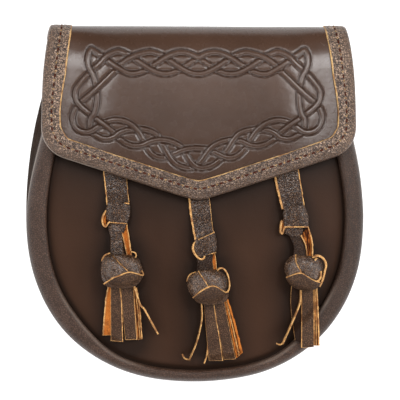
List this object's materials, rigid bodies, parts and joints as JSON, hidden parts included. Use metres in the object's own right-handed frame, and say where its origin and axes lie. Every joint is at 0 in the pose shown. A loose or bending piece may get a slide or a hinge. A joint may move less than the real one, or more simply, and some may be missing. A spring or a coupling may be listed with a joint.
{
  "type": "sporran pouch",
  "caption": "Round leather belt pouch with a rolled edge, a bound fold-over flap with an interlace border, and knotted leather tassels.",
  "frame": {"origin": "on the surface the pouch rests on, under the middle of its bounding box", "axes": "+Z out of the pouch's front, away from the surface it lies on; +Y from the bottom of the pouch to its top fold; +X to the right seen from the front"},
  "size_m": [0.1898, 0.1998, 0.0484],
  "materials": {
    "smooth_leather": "smooth dark brown, semi-gloss, embossed border on the flap",
    "grained_leather": "pebble-grained dark brown, satin, raw tan cut edges",
    "stud_metal": "satin"
  },
  "bodies": {
    "root": {"back_and_flap": "smooth_leather", "front_panel": "smooth_leather", "belt_loop_left": "smooth_leather", "belt_loop_right": "smooth_leather", "gusset": "grained_leather", "flap_binding": "grained_leather", "hanger_left": "grained_leather", "hanger_middle": "grained_leather", "hanger_right": "grained_leather", "tassel_left": "grained_leather", "tassel_middle": "grained_leather", "tassel_right": "grained_leather", "closure_stud": "stud_metal"}
  },
  "joints": []
}
